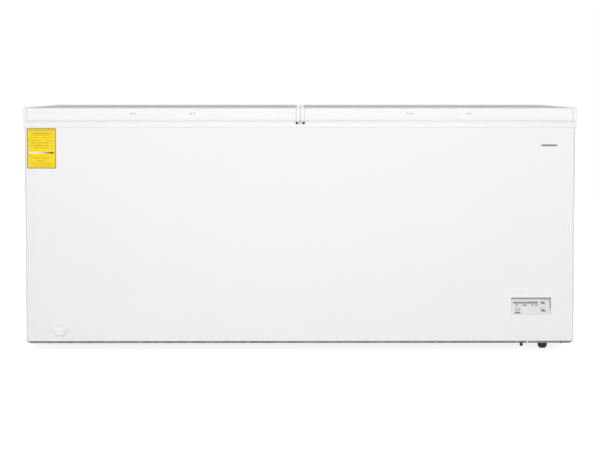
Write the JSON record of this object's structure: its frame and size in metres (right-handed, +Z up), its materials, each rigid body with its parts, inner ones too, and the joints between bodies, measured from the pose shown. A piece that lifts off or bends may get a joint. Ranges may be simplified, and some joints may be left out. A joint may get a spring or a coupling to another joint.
{
  "type": "chest freezer",
  "caption": "Long white chest freezer on casters: insulated cabinet, paired top lids on rear hinges, crossbar, control panel, drain, basket and compressor bay.",
  "frame": {"origin": "on the floor, under the middle of the outline", "axes": "+X along the length towards the compressor end, +Y from the front to the hinges, +Z up"},
  "size_m": [1.8768, 0.733, 0.8408],
  "materials": {
    "cabinet_steel": "satin white powder coat",
    "white_plastic": "moulded white ABS, fine satin",
    "galvanised_steel": "galvanised",
    "stucco_aluminium": "stucco-embossed sheet",
    "insulation_foam": "matte polyurethane foam",
    "door_gasket": "soft PVC, matte",
    "black_steel": "black stoved paint",
    "black_plastic": "matte",
    "grey_plastic": "pale grey moulded ABS",
    "display_lens": "smoked",
    "lamp_lens": "smoked",
    "circuit_board": "green solder mask",
    "zinc_steel": "bright zinc plate",
    "copper": "drawn copper",
    "sticker": "printed film label",
    "caster_wheel": "black nylon",
    "basket_wire": "white plastic-coated wire"
  },
  "bodies": {
    "cabinet": {"front_panel": "cabinet_steel", "left_side_panel": "cabinet_steel", "right_side_panel": "cabinet_steel", "back_panel": "cabinet_steel", "base_pan": "galvanised_steel", "cabinet_foam": "insulation_foam", "inner_liner": "stucco_aluminium", "evaporator_coil": "stucco_aluminium", "rim_frame": "white_plastic", "centre_crossbar": "grey_plastic", "compressor_tray": "galvanised_steel", "compressor": "black_steel", "starter_box": "black_plastic", "discharge_pipe": "copper", "filter_drier": "copper", "suction_pipe": "copper", "side_vent_grille": "white_plastic", "cord_gland": "black_plastic", "control_bezel": "white_plastic", "control_face": "grey_plastic", "display_window": "display_lens", "alarm_lamp": "lamp_lens", "control_board": "circuit_board", "energy_label": "sticker", "drain_tube": "white_plastic", "front_left_caster_plate": "zinc_steel", "front_right_caster_plate": "zinc_steel", "rear_left_caster_bracket": "zinc_steel", "rear_right_caster_bracket": "zinc_steel", "left_hinge_bracket_1": "zinc_steel", "left_hinge_bracket_2": "zinc_steel", "right_hinge_bracket_1": "zinc_steel", "right_hinge_bracket_2": "zinc_steel"},
    "left_lid": {"left_lid_skin": "cabinet_steel", "left_lid_outer_cap": "white_plastic", "left_lid_inner_cap": "white_plastic", "left_lid_liner": "white_plastic", "left_lid_foam": "insulation_foam", "left_lid_gasket": "door_gasket", "left_hinge_arm_1": "zinc_steel", "left_hinge_arm_2": "zinc_steel"},
    "right_lid": {"right_lid_skin": "cabinet_steel", "right_lid_outer_cap": "white_plastic", "right_lid_inner_cap": "white_plastic", "right_lid_liner": "white_plastic", "right_lid_foam": "insulation_foam", "right_lid_gasket": "door_gasket", "right_hinge_arm_1": "zinc_steel", "right_hinge_arm_2": "zinc_steel"},
    "basket": {"storage_basket": "basket_wire"},
    "drain_cap": {"drain_cap": "white_plastic"},
    "drain_plug": {"drain_plug": "white_plastic"},
    "set_button": {"set_button": "grey_plastic"},
    "mode_button": {"mode_button": "grey_plastic"},
    "front_left_caster": {"front_left_caster_fork": "black_steel"},
    "front_right_caster": {"front_right_caster_fork": "black_steel"},
    "front_left_wheel": {"front_left_caster_wheel": "caster_wheel"},
    "front_right_wheel": {"front_right_caster_wheel": "caster_wheel"},
    "rear_left_wheel": {"rear_left_caster_wheel": "caster_wheel"},
    "rear_right_wheel": {"rear_right_caster_wheel": "caster_wheel"}
  },
  "joints": [
    {"name": "left_lid_hinge", "type": "hinge", "parent": "cabinet", "child": "left_lid", "pos_m": [-0.4697, 0.3585, 0.8], "axis": [-1, 0, 0], "range_deg": [0, 80]},
    {"name": "right_lid_hinge", "type": "hinge", "parent": "cabinet", "child": "right_lid", "pos_m": [0.4697, 0.3585, 0.8], "axis": [-1, 0, 0], "range_deg": [0, 80]},
    {"name": "basket_slide", "type": "slide", "parent": "cabinet", "child": "basket", "axis": [1, 0, 0], "range_m": [-0.23, 0.33]},
    {"name": "drain_cap_pull", "type": "slide", "parent": "cabinet", "child": "drain_cap", "axis": [0, -1, 0], "range_m": [0, 0.03]},
    {"name": "drain_plug_lift", "type": "slide", "parent": "cabinet", "child": "drain_plug", "axis": [0, 0, 1], "range_m": [0, 0.08]},
    {"name": "set_button_press", "type": "slide", "parent": "cabinet", "child": "set_button", "axis": [0, 1, 0], "range_m": [0, 0.0012], "stiffness_N_per_m": 600},
    {"name": "mode_button_press", "type": "slide", "parent": "cabinet", "child": "mode_button", "axis": [0, 1, 0], "range_m": [0, 0.0012], "stiffness_N_per_m": 600},
    {"name": "front_left_swivel", "type": "hinge", "parent": "cabinet", "child": "front_left_caster", "pos_m": [-0.845, -0.1055, 0.0449], "axis": [0, 0, 1], "continuous": true},
    {"name": "front_left_roll", "type": "hinge", "parent": "front_left_caster", "child": "front_left_wheel", "pos_m": [-0.845, -0.0945, 0.01791], "axis": [1, 0, 0], "continuous": true},
    {"name": "front_right_swivel", "type": "hinge", "parent": "cabinet", "child": "front_right_caster", "pos_m": [0.845, -0.2635, 0.0449], "axis": [0, 0, 1], "continuous": true},
    {"name": "front_right_roll", "type": "hinge", "parent": "front_right_caster", "child": "front_right_wheel", "pos_m": [0.845, -0.2525, 0.01791], "axis": [1, 0, 0], "continuous": true},
    {"name": "rear_left_roll", "type": "hinge", "parent": "cabinet", "child": "rear_left_wheel", "pos_m": [-0.845, 0.2545, 0.01791], "axis": [1, 0, 0], "continuous": true},
    {"name": "rear_right_roll", "type": "hinge", "parent": "cabinet", "child": "rear_right_wheel", "pos_m": [0.845, 0.2545, 0.01791], "axis": [1, 0, 0], "continuous": true}
  ]
}
